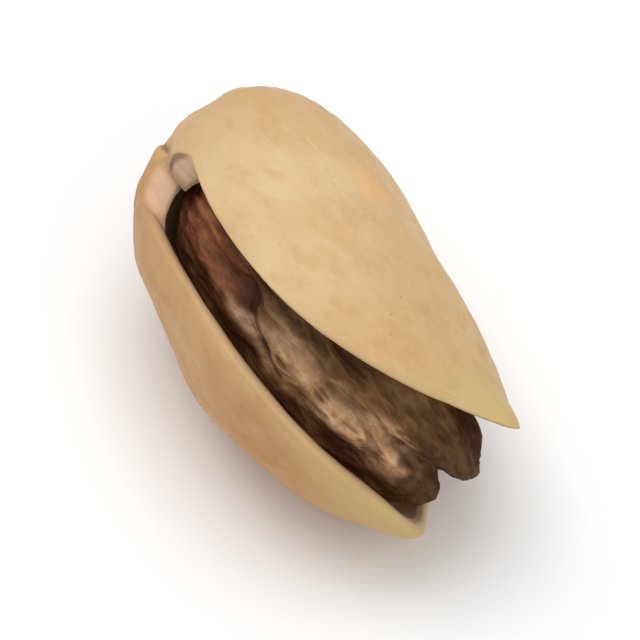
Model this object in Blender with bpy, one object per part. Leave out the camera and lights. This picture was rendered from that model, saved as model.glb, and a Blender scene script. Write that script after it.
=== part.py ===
"""Pistachio in its open shell, lying on its side with the split turned up.

Two pieces: the shell, whose two halves are still joined at the stem end, and
the kernel that lies loose in it. Both grow from one formula each, laid over an
even ball of squares. Working lengths are in millimetres; the finished meshes
are in metres with +Z up, resting on z = 0 under the middle of the nut.
"""

import math

import bmesh
import bpy
import numpy as np
from mathutils import Vector

METRES_PER_MM = 0.001

# Shell, measured along the nut (x), front to back (y) and across the halves (z)
SHELL_LENGTH = 18.7
FRONT_REACH = 5.8
BACK_REACH = 5.6
UPPER_DEPTH = 5.2
LOWER_DEPTH = 4.95
FRONT_ENDS = (0.41, 0.41)
BACK_ENDS = (0.43, 0.52)
UPPER_ENDS = (0.37, 0.90)
LOWER_ENDS = (0.38, 0.52)
BEAK_LENGTH = 1.15
BEAK_RADIUS = 1.3

# Keel along the edges of the split, as shares of the length where it rises and falls
KEEL_HEIGHT = 0.16
KEEL_SHARPNESS = 14
KEEL_RISE = (0.1, 0.4)
KEEL_FALL = (0.8, 1.0)

# Wall between the outside and the hollow
WALL = 0.9
STEM_WALL = 2.2
BEAK_WALL = 0.7
HOLLOW_FULLNESS = 0.38
HOLLOW_FULLNESS_FADE = 0.12
LIP_ROUNDING = 0.11

# The wall thins towards the split: by this share, over this angle and this length
EDGE_THINNING = 0.34
EDGE_THINNING_ANGLE = 0.45
EDGE_THINNING_RISE = 3.0

# The split, which runs from the front over the beak to the back
SPLIT_START_FRONT = 1.75
SPLIT_START_BACK = 6.2
GAPE_START_FRONT = 2.1
UPPER_GAPE = 3.25
LOWER_GAPE = 1.85
UPPER_GAPE_POWER = 1.9
LOWER_GAPE_POWER = 1.24
BLEND_WIDTH = 3.0

# Angle that the rim stands back from the middle plane, widest near the start
SPLIT_TRIM = 0.36
SPLIT_TRIM_FADE = 8.5
SPLIT_TRIM_RISE = 1.3
SPLIT_TRIM_BACK_SHARE = 0.25
SPLIT_TRIM_UPPER_DELAY = 0.65
SPLIT_CORNER = 0.15
SPLIT_CORNER_RISE = 0.5
SPLIT_CORNER_FADE = 1.6

# Stem end: scar, creases and the notch that leads into the split
STEM_FLATNESS = 0.7
STEM_FLAT_RADIUS = 2.8
SCAR_LENGTH = 1.75
SCAR_BREADTH = 1.2
SCAR_HEIGHT = 0.3
SCAR_EDGE = (0.65, 1.05)
SCAR_MOAT = 0.22
SCAR_MOAT_PLACE = 1.3
SCAR_MOAT_WIDTH = 0.25
CREASE_COUNT = 9
CREASE_WANDER = 1.7
CREASE_DEPTH = 0.2
CREASE_RISE = (0.1, 0.5)
CREASE_REACH = 2.4
NOTCH_START = 0.9
NOTCH_DEPTH = 0.6
NOTCH_WIDTH = 0.55
NOTCH_FALL = (2.5, 4.3)

# Low lengthwise ribs and slight dents of the outside
RIB_COUNT = 7
RIB_HEIGHT = 0.06
RIB_SLANT = 0.35
DENT_DEPTH = 0.075
DENT_LENGTH = 7.3
DENT_TWIST = 2.0
DENT_SIDE = 0.8
RELIEF_RISE = (1.0, 5.0)
RELIEF_FALL = (14.0, SHELL_LENGTH)

# Kernel
KERNEL_START = 2.75
KERNEL_LENGTH = 17.15
KERNEL_HALF_WIDTH = 4.1
KERNEL_HALF_DEPTH = 3.6
KERNEL_WIDTH_ENDS = (0.34, 0.69)
KERNEL_DEPTH_ENDS = (0.36, 0.39)
KERNEL_SAG = 0.45
KERNEL_STEM_DROP = 0.15
KERNEL_TIP_RISE = 0.33
KERNEL_TIP_LEAN = 0.25
TIP_LEAN_RISE = (0.55, 1.0)

# Cleft between the kernel's two lobes, deepest at the tip, where the upper lobe reaches further
CLEFT_DEPTH = 0.35
CLEFT_TIP_DEPTH = 1.4
CLEFT_WIDTH = 0.5
CLEFT_RISE = (0.05, 0.3)
CLEFT_DEEPENS = (0.80, 1.0)
LOBE_STEP = 0.46
LOBE_STEP_WIDTH = 0.8
LOBE_STEP_RISE = (0.75, 1.0)

# Furrows along the kernel, at these angles around it, and the lumps between them
FURROW_PLACES = (-2.65, -2.2, -1.2, 0.7, 1.6, 2.5)
FURROW_DEPTH = 0.28
FURROW_WIDTH = 0.2
FURROW_WANDER = 0.125
FURROW_WAVE = 0.9
FURROW_RISE = (0.1, 0.3)
FURROW_FALL = (0.85, 1.0)
LUMP_HEIGHT = 0.14
LUMP_WAVE = 1.35
LUMP_TWIST = 2.0
LUMP_COUNT = 3.0
LUMP_SLANT = 0.5
LUMP_RISE = (0.02, 0.2)

# How the nut lies
ROLL = math.radians(44.0)
PITCH = math.radians(-2.0)
REST_CUT = 0.25

# Squares along one side of a ball's six faces
SHELL_CELLS = 20
KERNEL_CELLS = 20

# How far the copies are held apart while the rim is bridged
BRIDGE_SPREAD = 0.05
BRIDGE_SHRINK = 0.9
LIP_CUTS = 2

SHELL_COLOUR = (0.80, 0.65, 0.45)
SHELL_ROUGHNESS = 0.65
KERNEL_COLOUR = (0.30, 0.18, 0.12)
KERNEL_ROUGHNESS = 0.5

CLOSE_TO_ZERO = 1e-6


def clear_scene():
    """Takes the start-up objects out of the scene."""
    for obj in list(bpy.data.objects):
        bpy.data.objects.remove(obj, do_unlink=True)


def profile(t, ends):
    """Reach of an ovoid along its length, 1 at its widest; ends are (stem, tip) bluntness."""
    stem, tip = ends
    widest = stem / (stem + tip)
    t = np.clip(t, 0.0, 1.0)
    return (t / widest) ** stem * ((1.0 - t) / (1.0 - widest)) ** tip


def rise(value, start, end):
    """Eases from 0 at start to 1 at end."""
    s = np.clip((value - start) / (end - start), 0.0, 1.0)
    return s * s * (3.0 - 2.0 * s)


def new_ball(cells):
    """A ball of radius 1 made of a cube's six faces in even squares."""
    bm = bmesh.new()
    bmesh.ops.create_cube(bm, size=2.0)
    bmesh.ops.subdivide_edges(bm, edges=bm.edges[:], cuts=cells - 1, use_grid_fill=True)
    for vert in bm.verts:
        vert.co = Vector([math.tan(c * math.pi / 4.0) for c in vert.co]).normalized()
    return bm


def on_split(vert):
    """True for a ball point on the line that the split follows."""
    if abs(vert.co.z) > CLOSE_TO_ZERO:
        return False
    start = SPLIT_START_FRONT if vert.co.y < 0.0 else SPLIT_START_BACK
    return (1.0 + vert.co.x) / 2.0 * SHELL_LENGTH >= start


def split_ball(bm):
    """Cuts the ball open along the split and tells each point which half it is in."""
    cut = [edge for edge in bm.edges if all(on_split(vert) for vert in edge.verts)]
    bmesh.ops.split_edges(bm, edges=cut)
    half = bm.verts.layers.float.new("half")
    for vert in bm.verts:
        heights = [face.calc_center_median().z for face in vert.link_faces]
        split_open = abs(vert.co.z) < CLOSE_TO_ZERO and vert.is_boundary
        same_side = min(heights) > 0.0 or max(heights) < 0.0
        if abs(vert.co.z) > CLOSE_TO_ZERO:
            vert[half] = math.copysign(1.0, vert.co.z)
        elif split_open and same_side:
            vert[half] = math.copysign(1.0, heights[0])
    return half


def add_hollow(bm, half):
    """Doubles the cut ball for the hollow and joins both along the rim."""
    directions = [bm.verts.layers.float.new(name) for name in ("dx", "dy", "dz")]
    depth = bm.verts.layers.float.new("depth")
    for vert in bm.verts:
        for layer, value in zip(directions, vert.co):
            vert[layer] = value
    for vert in bm.verts:
        vert.co.z += BRIDGE_SPREAD * vert[half] * max(0.0, vert.co.x + 1.0)
    geometry = bm.verts[:] + bm.edges[:] + bm.faces[:]
    copied = bmesh.ops.duplicate(bm, geom=geometry)["geom"]
    inner_verts = [item for item in copied if isinstance(item, bmesh.types.BMVert)]
    inner_faces = [item for item in copied if isinstance(item, bmesh.types.BMFace)]
    for vert in inner_verts:
        vert[depth] = 1.0
        vert.co *= BRIDGE_SHRINK
    bmesh.ops.reverse_faces(bm, faces=inner_faces)
    rim = [edge for edge in bm.edges if edge.is_boundary]
    bridged = bmesh.ops.bridge_loops(bm, edges=rim)
    across = [edge for edge in bridged["edges"] if abs(edge.verts[0][depth] - edge.verts[1][depth]) > 0.5]
    bmesh.ops.subdivide_edges(bm, edges=across, cuts=LIP_CUTS)
    return directions, depth


def read_layer(bm, layer):
    """The values of one layer as an array."""
    return np.array([vert[layer] for vert in bm.verts])


def gape(x, y, upper):
    """How far a half has moved away from the middle plane."""
    back = 0.5 * (1.0 + np.tanh(y / BLEND_WIDTH))
    start = GAPE_START_FRONT * (1.0 - back) + SPLIT_START_BACK * back
    along = np.clip((x - start) / (SHELL_LENGTH - start), 0.0, None)
    return np.where(upper, UPPER_GAPE * along**UPPER_GAPE_POWER, LOWER_GAPE * along**LOWER_GAPE_POWER)


def split_angle(x, front, upper):
    """Angle by which the rim stands back from the middle plane; the lower half has a blunt corner."""
    start = np.where(front, SPLIT_START_FRONT, SPLIT_START_BACK)
    delay = np.where(front & upper, SPLIT_TRIM_UPPER_DELAY, 0.0)
    edge = SPLIT_TRIM * np.exp(-(x - start) / SPLIT_TRIM_FADE)
    edge = edge * np.sqrt(np.clip((x - start - delay) / SPLIT_TRIM_RISE, 0.0, 1.0))
    corner = SPLIT_CORNER * np.exp(-(((x - start) / SPLIT_CORNER_FADE) ** 2))
    corner = corner * np.sqrt(np.clip((x - start) / SPLIT_CORNER_RISE, 0.0, 1.0))
    return np.where(front, edge + np.where(upper, 0.0, corner), edge * SPLIT_TRIM_BACK_SHARE)


def stem_relief(x, turn, z, front):
    """Inward depth of the creases and of the notch at the stem end."""
    creases = 0.5 + 0.5 * np.sin(CREASE_COUNT * turn + CREASE_WANDER * np.sin(2.0 * turn))
    fade = rise(x, *CREASE_RISE) * np.exp(-x / CREASE_REACH)
    notch = np.exp(-((z / NOTCH_WIDTH) ** 2)) * rise(x, NOTCH_START, SPLIT_START_FRONT)
    notch = notch * (1.0 - rise(x, *NOTCH_FALL))
    return CREASE_DEPTH * creases * fade + np.where(front, NOTCH_DEPTH * notch, 0.0)


def body_relief(x, turn):
    """Outward height of the low ribs and dents along the outside."""
    middle = rise(x, *RELIEF_RISE) * (1.0 - rise(x, *RELIEF_FALL))
    ribs = RIB_HEIGHT * np.sin(RIB_COUNT * turn + RIB_SLANT * x)
    dents = np.sin(2.0 * math.pi * x / DENT_LENGTH + DENT_TWIST * turn) * np.sin(turn + DENT_SIDE)
    return middle * (ribs + DENT_DEPTH * dents)


def wall_thickness(x, angle, front):
    """The wall's own thickness, which is least along the split."""
    start = np.where(front, SPLIT_START_FRONT, SPLIT_START_BACK)
    near = np.exp(-((angle / EDGE_THINNING_ANGLE) ** 2)) * rise(x, start, start + EDGE_THINNING_RISE)
    return WALL * (1.0 - EDGE_THINNING * near)


def shell_layer(direction, half, hollow):
    """Points of the outside, or of the hollow, in the nut's own frame."""
    t = (1.0 + direction[:, 0]) / 2.0
    around = np.hypot(direction[:, 1], direction[:, 2]).clip(CLOSE_TO_ZERO)
    front = direction[:, 1] < 0.0
    upper = half > 0.0
    angle = np.arcsin(np.clip(np.abs(direction[:, 2]) / around, 0.0, 1.0))
    trim = split_angle(SHELL_LENGTH * t, front, upper) * (np.abs(half) > 0.5)
    lift = trim + angle * (1.0 - trim / (math.pi / 2.0))
    cy = np.cos(lift) * np.where(front, -1.0, 1.0)
    cz = np.sin(lift) * np.sign(half)
    reach_y = np.where(front, FRONT_REACH * profile(t, FRONT_ENDS), BACK_REACH * profile(t, BACK_ENDS))
    reach_z = np.where(upper, UPPER_DEPTH * profile(t, UPPER_ENDS), LOWER_DEPTH * profile(t, LOWER_ENDS))
    turn = np.arctan2(direction[:, 2], direction[:, 1])
    x = SHELL_LENGTH * t
    if hollow:
        fullness = 1.0 + HOLLOW_FULLNESS * np.exp(-t / HOLLOW_FULLNESS_FADE)
        wall = wall_thickness(x, angle, front)
        reach_y = fullness * reach_y**2 / (reach_y + wall)
        reach_z = fullness * reach_z**2 / (reach_z + wall)
        x = STEM_WALL + t * (SHELL_LENGTH - STEM_WALL - BEAK_WALL)
    else:
        keel = np.abs(np.cos(lift)) ** KEEL_SHARPNESS * rise(t, *KEEL_RISE) * (1.0 - rise(t, *KEEL_FALL))
        change = body_relief(x, turn) + KEEL_HEIGHT * keel - stem_relief(x, turn, cz * reach_z, front)
        reach_y = np.maximum(reach_y + change, 0.0)
        reach_z = np.maximum(reach_z + change, 0.0)
    y = cy * reach_y
    z = cz * reach_z
    radius = np.hypot(y, z)
    if not hollow:
        oval = np.hypot(y / SCAR_LENGTH, z / SCAR_BREADTH)
        pad = 1.0 - rise(oval, *SCAR_EDGE)
        moat = np.exp(-(((oval - SCAR_MOAT_PLACE) / SCAR_MOAT_WIDTH) ** 2))
        x = x + (SCAR_MOAT * moat - SCAR_HEIGHT * pad) * (t < 0.5)
        x = x + STEM_FLATNESS * np.exp(-((radius / STEM_FLAT_RADIUS) ** 2)) * (t < 0.5)
    tip = np.exp(-((radius / BEAK_RADIUS) ** 2)) * (t > 0.5)
    x = x + BEAK_LENGTH * tip
    z = z + half * gape(x, y, upper)
    return np.stack([x, y, z], axis=1)


def shell_points(direction, half, depth):
    """Outside, hollow and rounded lip between them, in the nut's own frame."""
    outside = shell_layer(direction, half, False)
    inside = shell_layer(direction, half, True)
    share = depth[:, None]
    points = outside * (1.0 - share) + inside * share
    points[:, 2] -= half * LIP_ROUNDING * 4.0 * depth * (1.0 - depth)
    return points


def kernel_points(direction):
    """Points of the kernel in the nut's own frame."""
    t = (1.0 + direction[:, 0]) / 2.0
    around = np.hypot(direction[:, 1], direction[:, 2]).clip(CLOSE_TO_ZERO)
    cy = direction[:, 1] / around
    cz = direction[:, 2] / around
    turn = np.arctan2(cz, cy)
    y = cy * KERNEL_HALF_WIDTH * profile(t, KERNEL_WIDTH_ENDS)
    z = cz * KERNEL_HALF_DEPTH * profile(t, KERNEL_DEPTH_ENDS)
    lobe_step = LOBE_STEP * np.tanh(z / LOBE_STEP_WIDTH) * rise(t, *LOBE_STEP_RISE)
    x = KERNEL_START + KERNEL_LENGTH * t + lobe_step
    normal = direction / np.array([KERNEL_LENGTH / 2.0, KERNEL_HALF_WIDTH, KERNEL_HALF_DEPTH])
    normal /= np.linalg.norm(normal, axis=1)[:, None]
    cleft = CLEFT_DEPTH + (CLEFT_TIP_DEPTH - CLEFT_DEPTH) * rise(t, *CLEFT_DEEPENS)
    cleft = cleft * rise(t, *CLEFT_RISE) * np.exp(-((z / CLEFT_WIDTH) ** 2))
    wander = FURROW_WANDER * np.sin(FURROW_WAVE * x)
    furrow = np.zeros_like(x)
    for place in FURROW_PLACES:
        furrow = furrow + np.exp(-(((turn - place - wander) / FURROW_WIDTH) ** 2))
    furrow = FURROW_DEPTH * furrow * rise(t, *FURROW_RISE) * (1.0 - rise(t, *FURROW_FALL))
    lumps = np.sin(LUMP_WAVE * x + LUMP_TWIST * turn) * np.sin(LUMP_COUNT * turn + LUMP_SLANT * x)
    lumps = LUMP_HEIGHT * lumps * rise(t, *LUMP_RISE)
    change = lumps - cleft - furrow
    points = np.stack([x, y, z], axis=1) + normal * change[:, None]
    sag = KERNEL_SAG * np.sin(math.pi * t) + KERNEL_STEM_DROP * (1.0 - t) - KERNEL_TIP_RISE * t
    points[:, 2] -= sag
    points[:, 1] -= KERNEL_TIP_LEAN * rise(t, *TIP_LEAN_RISE)
    return points


def lay_down(points):
    """Turns the nut from its own frame to the way it lies."""
    x, y, z = points[:, 0], points[:, 1], points[:, 2]
    rolled_y = y * math.cos(ROLL) + z * math.sin(ROLL)
    rolled_z = -y * math.sin(ROLL) + z * math.cos(ROLL)
    pitched_x = x * math.cos(PITCH) - rolled_z * math.sin(PITCH)
    pitched_z = x * math.sin(PITCH) + rolled_z * math.cos(PITCH)
    return np.stack([pitched_x, rolled_y, pitched_z], axis=1)


def placed(shell, kernel):
    """Moves both pieces over the origin and presses the resting spot flat."""
    everything = np.vstack([shell, kernel])
    middle = (everything.min(axis=0) + everything.max(axis=0)) / 2.0
    floor = shell[:, 2].min() + REST_CUT
    shift = np.array([middle[0], middle[1], floor])
    shell = shell - shift
    kernel = kernel - shift
    shell[:, 2] = np.maximum(shell[:, 2], 0.0)
    return shell, kernel


def write_points(bm, points):
    """Gives the mesh its finished points, in metres."""
    for vert, point in zip(bm.verts, points * METRES_PER_MM):
        vert.co = point


def material(name, colour, roughness):
    """A plain surface of one colour."""
    mat = bpy.data.materials.new(name)
    mat.use_nodes = True
    shader = mat.node_tree.nodes["Principled BSDF"]
    shader.inputs["Base Color"].default_value = (*colour, 1.0)
    shader.inputs["Roughness"].default_value = roughness
    return mat


def shell_material():
    return material("shell_cream", SHELL_COLOUR, SHELL_ROUGHNESS)


def kernel_material():
    return material("kernel_skin", KERNEL_COLOUR, KERNEL_ROUGHNESS)


def finish_object(bm, name, mat, collection):
    """Turns a mesh in work into a named object."""
    bmesh.ops.recalc_face_normals(bm, faces=bm.faces[:])
    mesh = bpy.data.meshes.new(name)
    bm.to_mesh(mesh)
    bm.free()
    mesh.materials.append(mat)
    mesh.shade_smooth()
    obj = bpy.data.objects.new(name, mesh)
    collection.objects.link(obj)
    return obj


def build():
    clear_scene()
    collection = bpy.data.collections.new("pistachio_in_shell")
    bpy.context.scene.collection.children.link(collection)

    shell = new_ball(SHELL_CELLS)
    half = split_ball(shell)
    directions, depth = add_hollow(shell, half)
    shell_direction = np.stack([read_layer(shell, layer) for layer in directions], axis=1)
    shell_shape = shell_points(shell_direction, read_layer(shell, half), read_layer(shell, depth))

    kernel = new_ball(KERNEL_CELLS)
    kernel_direction = np.array([vert.co[:] for vert in kernel.verts])
    kernel_shape = kernel_points(kernel_direction)

    shell_shape, kernel_shape = placed(lay_down(shell_shape), lay_down(kernel_shape))
    write_points(shell, shell_shape)
    write_points(kernel, kernel_shape)
    finish_object(shell, "shell", shell_material(), collection)
    finish_object(kernel, "kernel", kernel_material(), collection)


build()
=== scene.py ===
import math
from collections import namedtuple

import bmesh
import bpy
import numpy as np
from mathutils import Matrix, Vector, noise


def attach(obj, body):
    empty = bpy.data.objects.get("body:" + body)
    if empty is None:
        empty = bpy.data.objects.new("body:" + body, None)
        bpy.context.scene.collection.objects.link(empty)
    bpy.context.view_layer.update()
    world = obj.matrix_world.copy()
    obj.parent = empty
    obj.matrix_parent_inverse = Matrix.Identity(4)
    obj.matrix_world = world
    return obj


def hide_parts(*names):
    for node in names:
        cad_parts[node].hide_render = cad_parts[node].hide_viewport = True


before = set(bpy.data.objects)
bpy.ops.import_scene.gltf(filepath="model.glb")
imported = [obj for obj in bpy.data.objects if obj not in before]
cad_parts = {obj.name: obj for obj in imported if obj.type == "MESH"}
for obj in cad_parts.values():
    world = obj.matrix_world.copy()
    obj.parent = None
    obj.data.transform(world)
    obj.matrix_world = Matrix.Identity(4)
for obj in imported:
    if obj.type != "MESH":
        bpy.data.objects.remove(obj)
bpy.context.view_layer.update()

METRES_PER_MM = 0.001
CLOSE_TO_ZERO = 1e-6

# The nut's measures, in millimetres, repeat those of its solids

# Shell, measured along the nut (x), front to back (y) and across the halves (z)
SHELL_LENGTH = 18.7
FRONT_REACH = 5.8
BACK_REACH = 5.6
UPPER_DEPTH = 5.2
LOWER_DEPTH = 4.95
FRONT_ENDS = (0.41, 0.41)
BACK_ENDS = (0.43, 0.52)
UPPER_ENDS = (0.37, 0.90)
LOWER_ENDS = (0.38, 0.52)
BEAK_LENGTH = 1.15
BEAK_RADIUS = 1.3

# Keel along the edges of the split, as shares of the length where it rises and falls
KEEL_HEIGHT = 0.16
KEEL_SHARPNESS = 14
KEEL_RISE = (0.1, 0.4)
KEEL_FALL = (0.8, 1.0)

# Wall between the outside and the hollow
WALL = 0.9
STEM_WALL = 2.2
BEAK_WALL = 0.7
HOLLOW_FULLNESS = 0.38
HOLLOW_FULLNESS_FADE = 0.12
LIP_ROUNDING = 0.11

# The wall thins towards the split: by this share, over this angle and this length
EDGE_THINNING = 0.34
EDGE_THINNING_ANGLE = 0.45
EDGE_THINNING_RISE = 3.0

# The split, which runs from the front over the beak to the back
SPLIT_START_FRONT = 1.75
SPLIT_START_BACK = 6.2
GAPE_START_FRONT = 2.1
UPPER_GAPE = 3.25
LOWER_GAPE = 1.85
UPPER_GAPE_POWER = 1.9
LOWER_GAPE_POWER = 1.24
BLEND_WIDTH = 3.0

# Angle that the rim stands back from the middle plane, widest near the start
SPLIT_TRIM = 0.36
SPLIT_TRIM_FADE = 8.5
SPLIT_TRIM_RISE = 1.3
SPLIT_TRIM_BACK_SHARE = 0.25
SPLIT_TRIM_UPPER_DELAY = 0.65
SPLIT_CORNER = 0.15
SPLIT_CORNER_RISE = 0.5
SPLIT_CORNER_FADE = 1.6

# Stem end: scar, creases and the notch that leads into the split
STEM_FLATNESS = 0.7
STEM_FLAT_RADIUS = 2.8
SCAR_LENGTH = 1.75
SCAR_BREADTH = 1.2
SCAR_HEIGHT = 0.3
SCAR_EDGE = (0.65, 1.05)
SCAR_MOAT = 0.22
SCAR_MOAT_PLACE = 1.3
SCAR_MOAT_WIDTH = 0.25
CREASE_COUNT = 9
CREASE_WANDER = 1.7
CREASE_DEPTH = 0.2
CREASE_RISE = (0.1, 0.5)
CREASE_REACH = 2.4
NOTCH_START = 0.9
NOTCH_DEPTH = 0.6
NOTCH_WIDTH = 0.55
NOTCH_FALL = (2.5, 4.3)

# Low lengthwise ribs and slight dents of the outside
RIB_COUNT = 7
RIB_HEIGHT = 0.06
RIB_SLANT = 0.35
DENT_DEPTH = 0.075
DENT_LENGTH = 7.3
DENT_TWIST = 2.0
DENT_SIDE = 0.8
RELIEF_RISE = (1.0, 5.0)
RELIEF_FALL = (14.0, SHELL_LENGTH)

# Kernel
KERNEL_START = 2.75
KERNEL_LENGTH = 17.15
KERNEL_HALF_WIDTH = 4.1
KERNEL_HALF_DEPTH = 3.6
KERNEL_WIDTH_ENDS = (0.34, 0.69)
KERNEL_DEPTH_ENDS = (0.36, 0.39)
KERNEL_SAG = 0.45
KERNEL_STEM_DROP = 0.15
KERNEL_TIP_RISE = 0.33
KERNEL_TIP_LEAN = 0.25
TIP_LEAN_RISE = (0.55, 1.0)

# Cleft between the kernel's two lobes, deepest at the tip, where the upper lobe reaches further
CLEFT_DEPTH = 0.35
CLEFT_TIP_DEPTH = 1.4
CLEFT_WIDTH = 0.5
CLEFT_RISE = (0.05, 0.3)
CLEFT_DEEPENS = (0.80, 1.0)
LOBE_STEP = 0.46
LOBE_STEP_WIDTH = 0.8
LOBE_STEP_RISE = (0.75, 1.0)

# Furrows along the kernel, at these angles around it, and the lumps between them
FURROW_PLACES = (-2.65, -2.2, -1.2, 0.7, 1.6, 2.5)
FURROW_DEPTH = 0.28
FURROW_WIDTH = 0.2
FURROW_WANDER = 0.125
FURROW_WAVE = 0.9
FURROW_RISE = (0.1, 0.3)
FURROW_FALL = (0.85, 1.0)
LUMP_HEIGHT = 0.14
LUMP_WAVE = 1.35
LUMP_TWIST = 2.0
LUMP_COUNT = 3.0
LUMP_SLANT = 0.5
LUMP_RISE = (0.02, 0.2)

# How the nut lies
ROLL = math.radians(44.0)
PITCH = math.radians(-2.0)
REST_CUT = 0.25

# Squares along one side of a ball's six faces
SHELL_CELLS = 88
KERNEL_CELLS = 122

# Cuts across the lip, and how far the rims stand apart while they are joined
LIP_CUTS = 4
BRIDGE_SPREAD = 0.05
BRIDGE_SHRINK = 0.9

# Slanting crease beside the kernel's middle: its ends, along and across
KERNEL_CREASE_FROM = (9.0, -0.15)
KERNEL_CREASE_TO = (11.6, -1.35)
KERNEL_CREASE_WIDTH = 0.20
KERNEL_CREASE_DEPTH = 0.32
KERNEL_CREASE_RISE = (-0.15, 0.1)
KERNEL_CREASE_FALL = (0.9, 1.3)

# Hole with painted shade in and around it, and light streak beside that crease
HOLE_PLACE = (9.3, -3.9, -0.3)
HOLE_STRETCH = (0.8, 0.6, 1.2)
HOLE_RADIUS = 0.62
HOLE_DEPTH = 0.35
HOLE_SHADE_RADIUS = 1.5 * HOLE_RADIUS
STREAK_PLACE = (10.0, -3.9, -1.0)
STREAK_STRETCH = (0.55, 1.0, 2.2)
STREAK_RADIUS = 0.85

# How each octave of a fractal noise fades and how much finer it is
FRACTAL_FALLOFF = 1.0
FRACTAL_STEP = 2.0

# Fine relief made of noise: height in millimetres, and size in 1/mm for x, y and z
Relief = namedtuple("Relief", "height scale octaves offset")
SHELL_UNEVENNESS = Relief(0.032, (0.55, 0.8, 0.8), 3, 0.0)
SHELL_GRAIN = Relief(0.012, (1.6, 3.0, 3.0), 3, 7.0)
STEM_ROUGHNESS = Relief(0.075, (1.9, 1.9, 1.9), 4, 5.0)
STEM_ROUGHNESS_FADE = 1.8
HOLLOW_GRAIN = Relief(0.02, (0.8, 1.2, 1.2), 3, 2.0)
KERNEL_GRAIN = Relief(0.035, (1.6, 3.0, 3.0), 3, 31.0)

# Pits of the shell and the areas that have them
PIT_DEPTH = 0.03
PIT_SCALE = (2.1, 2.1, 2.1)
PIT_OFFSET = 3.0
PIT_RISE = (0.86, 1.0)
PIT_AREAS = Relief(1.0, (0.3, 0.3, 0.3), 2, 11.0)
PIT_AREAS_RISE = (-0.1, 0.4)

# The scar's uneven outline, its grain and the ring around it, where 1 is the scar's edge
SCAR_END = 4.0
FAR_FROM_SCAR = 9.0
SCAR_WOBBLE = Relief(0.22, (0.9, 0.9, 0.9), 3, 23.0)
SCAR_GRAIN = Relief(0.06, (4.0, 4.0, 4.0), 3, 29.0)
SCAR_GRAIN_FALL = (0.7, 1.0)
SCAR_RING_PLACE = 1.12
SCAR_RING_WIDTH = 0.14
SCAR_RING_DEPTH = 0.09

# Seams where the halves stay joined, ahead of the split, and where they rise and fall
Seam = namedtuple("Seam", "depth width rise fall")
FRONT_SEAM = Seam(0.09, 0.12, (0.4, 1.0), (1.5, 2.1))
BACK_SEAM = Seam(0.08, 0.16, (1.0, 2.2), (5.6, 6.3))
BACK_SEAM_SHADE = 0.5

# Folds of the kernel's skin, coarse to fine: height, level of no height, share in the light crests
Fold = namedtuple("Fold", "height middle share scale offset")
KERNEL_FOLDS = (
    Fold(0.15, 0.75, 0.42, (0.11, 0.75, 0.75), 0.0),
    Fold(0.08, 0.6, 0.36, (0.24, 1.7, 1.7), 9.0),
    Fold(0.035, 0.5, 0.22, (0.75, 3.9, 3.9), 17.0),
)
FOLD_BENDS = [Relief(0.16, (0.5, 0.5, 0.5), 2, offset) for offset in (20.0, 40.0, 60.0)]
FOLD_LIMIT = 0.12

# Depth in the kernel's furrows and cleft that takes the whole painted shade
DEEP_RELIEF = 0.6

# Sockets of a mix node that hold its colours
MIX_FIRST = 6
MIX_SECOND = 7
MIX_RESULT = 2

# Noise in the materials: stretch along the nut, size in 1/mm, detail, roughness, distortion
Pattern = namedtuple("Pattern", "stretch scale detail rough distortion", defaults=(0.0,))
NOISE_MIDDLE = 0.5
SHELL_BLOTCHES = Pattern(0.7, 0.32, 3.0, 0.5)
SHELL_MOTTLE = Pattern(0.6, 1.1, 4.0, 0.6)
SHELL_STREAKS = Pattern(0.22, 2.6, 4.0, 0.6, 0.4)
SHELL_FINE = Pattern(1.0, 7.0, 4.0, 0.65)
SHELL_PORES = Pattern(1.0, 3.2, 5.0, 0.6)
SHELL_SCRATCHES = Pattern(0.35, 9.0, 4.0, 0.6)
SPECK_AREAS = Pattern(1.0, 0.45, 2.0, 0.55)
KERNEL_PATCHES = Pattern(0.6, 0.6, 3.0, 0.6)
KERNEL_FINE = Pattern(0.45, 4.5, 5.0, 0.65)
KERNEL_FLECKS = Pattern(0.4, 2.4, 3.0, 0.7)
KERNEL_MOTTLE = Pattern(0.65, 1.5, 5.0, 0.7)
FLOOR_GRAIN = Pattern(1.0, 40.0, 3.0, 0.55)

# Bumps too fine for the mesh: strength, and height in metres
Bump = namedtuple("Bump", "strength distance")
PORE_BUMP = Bump(0.35, 0.00006)
SCRATCH_BUMP = Bump(0.3, 0.00003)
KERNEL_BUMP = Bump(0.5, 0.00008)

# A fade goes from the first colour to the second as its value goes from start to end
Fade = namedtuple("Fade", "start end first second")
SHELL_BASE = Fade(0.36, 0.64, (0.645, 0.418, 0.205), (0.705, 0.492, 0.263))
LIP_FADE = Fade(0.4, 0.65, (0.70, 0.45, 0.29), (0.60, 0.375, 0.225))
EDGE_FADE = Fade(0.3, 0.8, (0.56, 0.37, 0.19), (0.30, 0.175, 0.09))
HOLLOW_FADE = Fade(0.4, 0.6, (0.64, 0.44, 0.27), (0.52, 0.33, 0.185))

# A tint adds its colour, up to its share, as its value goes from start to end
Tint = namedtuple("Tint", "start end share colour")
SHELL_MOTTLE_TINT = Tint(0.45, 0.72, 0.55, (0.585, 0.360, 0.165))
SHELL_STREAK_TINT = Tint(0.52, 0.75, 0.35, (0.745, 0.555, 0.335))
SHELL_FINE_TINT = Tint(0.55, 0.8, 0.3, (0.51, 0.31, 0.145))
LOW_RELIEF_TINT = Tint(-0.01, -0.06, 0.35, (0.50, 0.32, 0.17))
STEM_TINT = Tint(0.10, 0.75, 0.45, (0.46, 0.275, 0.125))
SEAM_TINT = Tint(0.15, 0.8, 0.75, (0.22, 0.11, 0.05))
KERNEL_MOTTLE_TINT = Tint(0.48, 0.36, 0.40, (0.105, 0.045, 0.020))
# Painted shade: the kernel's troughs, deep furrows and cleft, and its crease are darkened where shade falls
TROUGH_PAINTED_SHADE = Tint(0.48, 0.26, 0.6, (0.060, 0.020, 0.009))
DEEP_PAINTED_SHADE = Tint(0.3, 0.95, 0.7, (0.055, 0.020, 0.010))
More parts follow.
